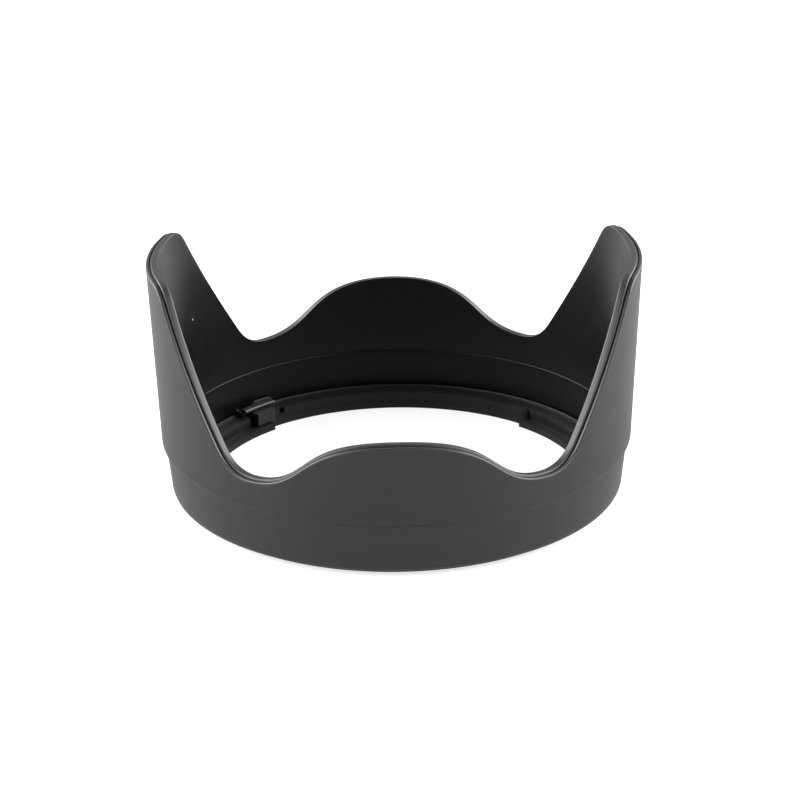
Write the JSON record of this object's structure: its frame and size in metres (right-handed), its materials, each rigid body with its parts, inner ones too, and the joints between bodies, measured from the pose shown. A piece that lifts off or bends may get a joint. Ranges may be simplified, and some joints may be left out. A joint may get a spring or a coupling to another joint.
{
  "type": "lens hood",
  "caption": "Petal-shaped black plastic lens hood that twists onto a lens's bayonet and clicks in place with sprung arms.",
  "frame": {"origin": "centre of the opening on the mounting face, which is also the face the hood rests on", "axes": "+Z along the optical axis from the lens towards the subject, +X through the middle of a tall petal, +Y through the middle of a short petal"},
  "size_m": [0.092, 0.0902, 0.0462],
  "materials": {
    "shade_plastic": "satin black moulded plastic with a fine even grain, slightly cool",
    "collar_plastic": "satin black moulded plastic, a little smoother than the shade",
    "ring_plastic": "dull black moulded plastic with faint rubbing on the lugs",
    "click_plastic": "smooth black moulded plastic, polished on the nose by use",
    "mark_paint": "thin off-white printed paint"
  },
  "bodies": {
    "hood": {"petal_shade": "shade_plastic", "mount_collar": "collar_plastic", "bayonet_ring": "ring_plastic", "index_line": "mark_paint", "index_dot": "mark_paint"},
    "click_arm_left": {"click_arm_left": "click_plastic"},
    "click_arm_right": {"click_arm_right": "click_plastic"}
  },
  "joints": [
    {"name": "click_left", "type": "hinge", "parent": "hood", "child": "click_arm_left", "pos_m": [-0.02997, 0.0248, 0], "axis": [0, 0, 1], "range_deg": [0, 5], "stiffness_Nm_per_rad": 0.45},
    {"name": "click_right", "type": "hinge", "parent": "hood", "child": "click_arm_right", "pos_m": [0.02997, -0.0248, 0], "axis": [0, 0, 1], "range_deg": [0, 5], "stiffness_Nm_per_rad": 0.45}
  ]
}
